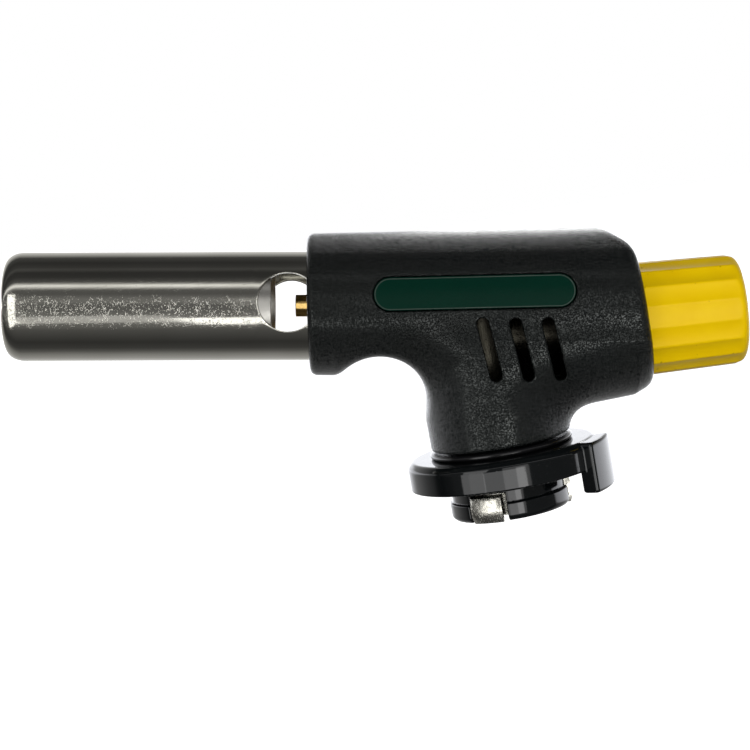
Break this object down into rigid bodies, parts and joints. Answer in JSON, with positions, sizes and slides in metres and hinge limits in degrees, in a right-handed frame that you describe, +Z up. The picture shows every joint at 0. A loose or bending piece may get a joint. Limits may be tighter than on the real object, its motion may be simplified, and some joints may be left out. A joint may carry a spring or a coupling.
{
  "type": "gas torch head",
  "caption": "Hand-held gas torch head with tilted burner tube, pistol-style housing, fluted valve knob and bayonet collar for a nozzle-type gas cartridge.",
  "frame": {"origin": "on the cartridge axis, in the plane of the lock ring's underside where the cartridge collar seats, inside the inlet bore", "axes": "+Z up along the cartridge axis, +X towards the valve knob, the burner tube points to -X and rises 9.65 degrees"},
  "size_m": [0.1474, 0.039, 0.0687],
  "materials": {
    "housing_plastic": "fine moulded grain",
    "screw_steel": "zinc plated",
    "label_green": "lacquered foil",
    "polished_nickel": "polished nickel plate",
    "plain_steel": "plain",
    "turned_brass": "turned",
    "sintered_bronze": "sintered",
    "cast_zinc": "as cast",
    "black_rubber": "smooth",
    "collar_plastic": "high gloss",
    "white_ptfe": "satin",
    "knob_yellow": "semi-gloss"
  },
  "bodies": {
    "torch_body": {"left_shell": "housing_plastic", "right_shell": "housing_plastic", "shell_screws": "screw_steel", "label_plate": "label_green", "burner_tube": "polished_nickel", "mixer_sleeve": "plain_steel", "flame_holder": "plain_steel", "tube_screws": "screw_steel", "jet": "turned_brass", "jet_holder": "turned_brass", "jet_filter": "sintered_bronze", "valve_body": "cast_zinc", "inlet_nipple": "turned_brass", "inlet_seal": "black_rubber", "inlet_filter": "sintered_bronze", "bayonet_skirt": "collar_plastic", "gland_nut": "turned_brass", "gland_washer": "white_ptfe"},
    "collar": {"lock_ring": "collar_plastic", "bead_ring": "black_rubber"},
    "seal_carrier": {"spindle_o_ring": "black_rubber"},
    "knob_and_spindle": {"knob": "knob_yellow", "knob_screw": "screw_steel", "spindle": "turned_brass"}
  },
  "joints": [
    {"name": "lock_ring_turn", "type": "hinge", "parent": "torch_body", "child": "collar", "pos_m": [0, 0, 0], "axis": [0, 0, 1], "range_deg": [0, 35]},
    {"name": "spindle_lift", "type": "slide", "parent": "torch_body", "child": "seal_carrier", "axis": [0.9979, 0, -0.0654], "range_m": [0, 0.00112]},
    {"name": "knob_turn", "type": "hinge", "parent": "seal_carrier", "child": "knob_and_spindle", "pos_m": [0, 0, 0.0288], "axis": [0.9979, 0, -0.0654], "range_deg": [0, 540]}
  ],
  "couplings": [
    {"joint": "spindle_lift", "follows": "knob_turn", "m_per_rad": 0.00011937}
  ]
}
